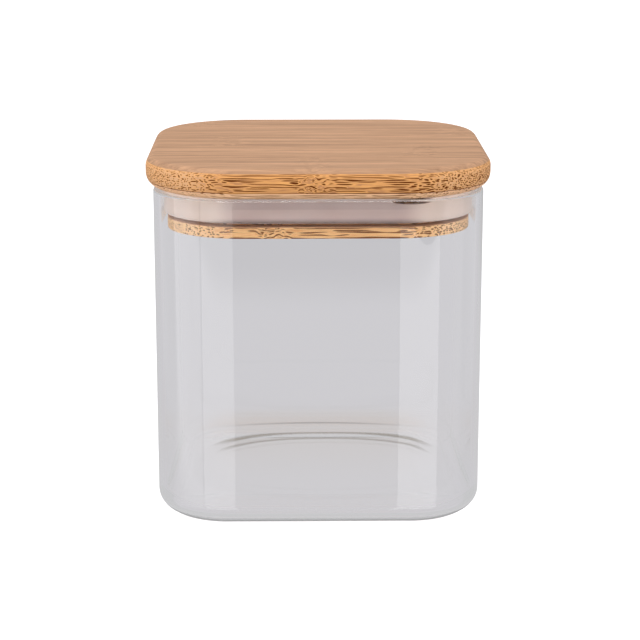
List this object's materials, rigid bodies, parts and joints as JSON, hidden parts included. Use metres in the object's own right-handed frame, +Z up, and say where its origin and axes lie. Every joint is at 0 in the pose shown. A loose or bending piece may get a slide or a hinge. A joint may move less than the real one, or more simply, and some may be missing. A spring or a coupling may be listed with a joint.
{
  "type": "glass storage jar",
  "caption": "Square clear glass jar with rounded corners and a push-in laminated bamboo lid sealed by a silicone ring.",
  "frame": {"origin": "centre of the jar's foot, on the surface that it stands on", "axes": "+Z up along the jar's height, +X along the grain of the bamboo lid"},
  "size_m": [0.105, 0.105, 0.11],
  "materials": {
    "clear_glass": "clear, blown",
    "milky_silicone": "translucent, satin",
    "bamboo_light": "sanded, thin clear oil",
    "bamboo_warm": "sanded, thin clear oil",
    "bamboo_dark": "sanded, thin clear oil"
  },
  "bodies": {
    "jar": {"glass_body": "clear_glass"},
    "lid": {"lid_top_strip_1": "bamboo_warm", "lid_top_strip_2": "bamboo_dark", "lid_top_strip_3": "bamboo_light", "lid_top_strip_4": "bamboo_warm", "lid_top_strip_5": "bamboo_dark", "lid_core_strip_1": "bamboo_dark", "lid_core_strip_2": "bamboo_light", "lid_core_strip_3": "bamboo_warm", "lid_core_strip_4": "bamboo_dark", "lid_core_strip_5": "bamboo_light", "lid_plug_strip_1": "bamboo_light", "lid_plug_strip_2": "bamboo_warm", "lid_plug_strip_3": "bamboo_dark", "lid_plug_strip_4": "bamboo_light", "lid_plug_strip_5": "bamboo_warm", "seal_ring": "milky_silicone"}
  },
  "joints": [
    {"name": "lid_lift", "type": "slide", "parent": "jar", "child": "lid", "axis": [0, 0, 1], "range_m": [0, 0.12]}
  ]
}
